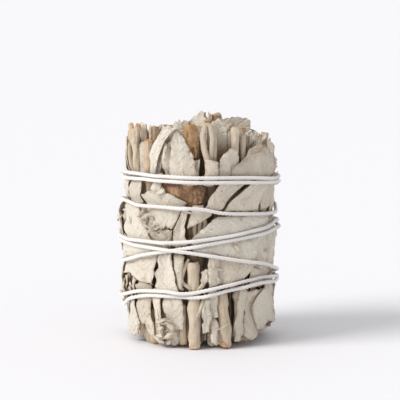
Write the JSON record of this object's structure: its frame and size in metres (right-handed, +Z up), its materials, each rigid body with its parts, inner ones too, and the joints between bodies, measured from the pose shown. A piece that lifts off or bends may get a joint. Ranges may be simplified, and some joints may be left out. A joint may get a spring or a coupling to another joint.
{
  "type": "sage bunch",
  "caption": "Short bunch of dried white sage, cut square at both ends and bound round with white cotton twine, standing on its cut stem ends.",
  "frame": {"origin": "middle of the bunch's box on the floor, at the cut stem ends", "axes": "+Z up along the bunch; -Y faces the picture's camera; +X to its right"},
  "size_m": [0.0368, 0.0378, 0.05],
  "materials": {
    "sage": "matte felted grey-green leaf",
    "brown_leaf": "matte dead brown leaf",
    "cotton": "white cotton twine"
  },
  "bodies": {
    "root": {"outer_sprig_01": "sage", "outer_sprig_02": "sage", "outer_sprig_03": "sage", "outer_sprig_04": "sage", "outer_sprig_05": "sage", "outer_sprig_06": "sage", "outer_sprig_07": "sage", "outer_sprig_08": "sage", "outer_sprig_09": "sage", "outer_sprig_10": "sage", "outer_sprig_11": "sage", "inner_sprig_01": "sage", "inner_sprig_02": "sage", "inner_sprig_03": "sage", "inner_sprig_04": "sage", "inner_sprig_05": "sage", "bare_stem": "sage", "brown_leaf_front": "brown_leaf", "brown_leaf_top": "brown_leaf", "twine": "cotton"}
  },
  "joints": []
}
